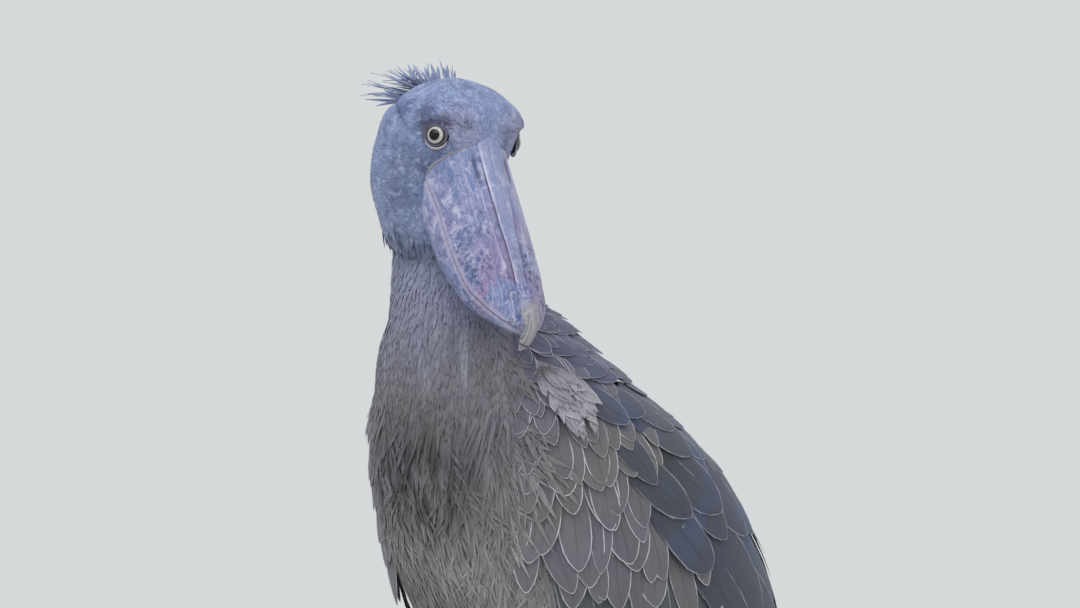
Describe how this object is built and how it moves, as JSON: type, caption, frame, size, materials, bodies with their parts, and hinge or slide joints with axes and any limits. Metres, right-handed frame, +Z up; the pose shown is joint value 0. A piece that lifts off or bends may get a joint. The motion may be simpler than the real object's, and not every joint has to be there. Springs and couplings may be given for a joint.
{
  "type": "shoebill, standing, head turned over its shoulder",
  "caption": "Life-size standing shoebill with a broad hooked bill, head turned to its left and wings folded over the back.",
  "frame": {"origin": "on the floor, under the middle of the bird's bounding box", "axes": "+Z up, the bird's body faces -Y and its left side is +X"},
  "size_m": [0.3252, 0.5548, 1.1962],
  "materials": {
    "body_plumage": "soft slate-grey body feathers with darker shaft streaks",
    "head_plumage": "short velvety periwinkle-grey head feathers",
    "flight_feather": "slate wing and tail feathers with pale edges and a faint sheen",
    "skin": "matt grey skin under the feathers, on the lids and at the gape",
    "bill_horn": "satin horn mottled in grey-blue, lavender and tan",
    "leg_scale": "dark scaly leg skin",
    "claw_horn": "dark worn horn",
    "eye": "wet pale yellow-grey iris round a black pupil"
  },
  "bodies": {
    "root": {"bill_lower": "bill_horn", "bill_upper": "bill_horn", "claw_hind_left": "claw_horn", "claw_hind_right": "claw_horn", "claw_inner_left": "claw_horn", "claw_inner_right": "claw_horn", "claw_middle_left": "claw_horn", "claw_middle_right": "claw_horn", "claw_outer_left": "claw_horn", "claw_outer_right": "claw_horn", "eye_left": "eye", "eye_right": "eye", "foot_left": "leg_scale", "foot_right": "leg_scale", "head": "head_plumage", "neck": "body_plumage", "shank_left": "leg_scale", "shank_right": "leg_scale", "tail": "flight_feather", "thigh_left": "body_plumage", "thigh_right": "body_plumage", "torso": "body_plumage", "wing_left": "flight_feather", "wing_right": "flight_feather"}
  },
  "joints": []
}
